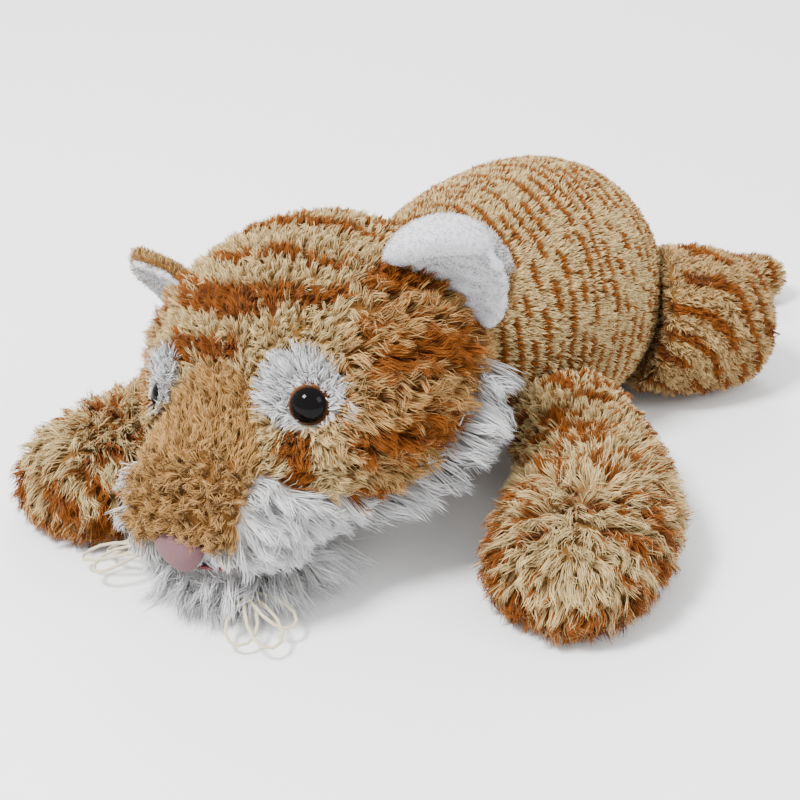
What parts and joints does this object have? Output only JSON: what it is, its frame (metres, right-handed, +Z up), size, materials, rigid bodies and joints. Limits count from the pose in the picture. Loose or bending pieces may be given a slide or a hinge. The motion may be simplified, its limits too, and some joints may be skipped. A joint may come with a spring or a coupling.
{
  "type": "plush_tiger",
  "caption": "Floppy stuffed tiger lying on its belly with its chin down and its legs splayed; the head, ears, legs and tail turn at their seams.",
  "frame": {"origin": "On the floor, in the middle of the belly's flat resting face.", "axes": "+Z up. The toy faces -Y, along its length, and its left side is +X."},
  "size_m": [0.303, 0.501, 0.1705],
  "materials": {
    "striped_plush": "short shaggy plush, orange-brown with rust stripes",
    "belly_plush": "plain short tan plush",
    "polyester_filling": "loose fibre filling",
    "pellet_bag_cloth": "plain cloth around plastic pellets",
    "golden_plush": "curly golden tan plush",
    "white_plush": "long white plush",
    "eye_plastic": "polished dark brown",
    "washer_plastic": "plain",
    "nose_velour": "pink velour",
    "mouth_thread": "dark pink thread",
    "whisker_yarn": "pale cream yarn",
    "white_velour": "short white velour"
  },
  "bodies": {
    "trunk": {"back_cover": "striped_plush", "belly_panel": "belly_plush", "body_stuffing": "polyester_filling", "body_pellet_bag": "pellet_bag_cloth"},
    "neck": {"neck_cover": "striped_plush", "neck_stuffing": "polyester_filling"},
    "head": {"head_cover": "striped_plush", "muzzle_cover": "golden_plush", "head_stuffing": "polyester_filling", "chin": "white_plush", "left_eye_patch": "white_plush", "left_eye": "eye_plastic", "left_eye_washer": "washer_plastic", "right_eye_patch": "white_plush", "right_eye": "eye_plastic", "right_eye_washer": "washer_plastic", "nose": "nose_velour", "mouth_stitch": "mouth_thread", "left_cheek_ruff": "white_plush", "left_whiskers": "whisker_yarn", "right_cheek_ruff": "white_plush", "right_whiskers": "whisker_yarn"},
    "left_ear": {"left_ear_back": "striped_plush", "left_ear_lining": "white_velour"},
    "right_ear": {"right_ear_back": "striped_plush", "right_ear_lining": "white_velour"},
    "left_front_leg": {"left_front_leg_cover": "striped_plush", "left_front_leg_pellets": "pellet_bag_cloth"},
    "right_front_leg": {"right_front_leg_cover": "striped_plush", "right_front_leg_pellets": "pellet_bag_cloth"},
    "left_hind_leg": {"left_hind_leg_cover": "striped_plush", "left_hind_leg_pellets": "pellet_bag_cloth"},
    "right_hind_leg": {"right_hind_leg_cover": "striped_plush", "right_hind_leg_pellets": "pellet_bag_cloth"},
    "tail": {"tail_cover": "striped_plush", "tail_stuffing": "polyester_filling"}
  },
  "joints": [
    {"name": "neck_turn", "type": "hinge", "parent": "trunk", "child": "neck", "pos_m": [-0.003, -0.084, 0.072], "axis": [0, 0, 1], "range_deg": [-4, 12]},
    {"name": "head_nod", "type": "hinge", "parent": "neck", "child": "head", "pos_m": [-0.003, -0.084, 0.072], "axis": [-1, 0, 0], "range_deg": [0, 10]},
    {"name": "left_ear_fold", "type": "hinge", "parent": "head", "child": "left_ear", "pos_m": [0.05319, -0.11834, 0.13065], "axis": [0.7616, 0.5484, -0.3453], "range_deg": [-15, 15], "stiffness_Nm_per_rad": 0.01},
    {"name": "right_ear_fold", "type": "hinge", "parent": "head", "child": "right_ear", "pos_m": [-0.08261, -0.14237, 0.09527], "axis": [0.5447, -0.5028, 0.6712], "range_deg": [-15, 15], "stiffness_Nm_per_rad": 0.01},
    {"name": "left_front_leg_swing", "type": "hinge", "parent": "trunk", "child": "left_front_leg", "pos_m": [0.056, -0.034, 0], "axis": [0, 0, 1], "range_deg": [0, 25]},
    {"name": "right_front_leg_swing", "type": "hinge", "parent": "trunk", "child": "right_front_leg", "pos_m": [-0.065, -0.077, 0], "axis": [0, 0, -1], "range_deg": [0, 24]},
    {"name": "left_hind_leg_swing", "type": "hinge", "parent": "trunk", "child": "left_hind_leg", "pos_m": [0.046, 0.062, 0], "axis": [0, 0, -1], "range_deg": [0, 25]},
    {"name": "right_hind_leg_swing", "type": "hinge", "parent": "trunk", "child": "right_hind_leg", "pos_m": [-0.046, 0.062, 0], "axis": [0, 0, 1], "range_deg": [0, 25]},
    {"name": "tail_swing", "type": "hinge", "parent": "trunk", "child": "tail", "pos_m": [0, 0.096, 0], "axis": [0, 0, 1], "range_deg": [0, 18]}
  ]
}
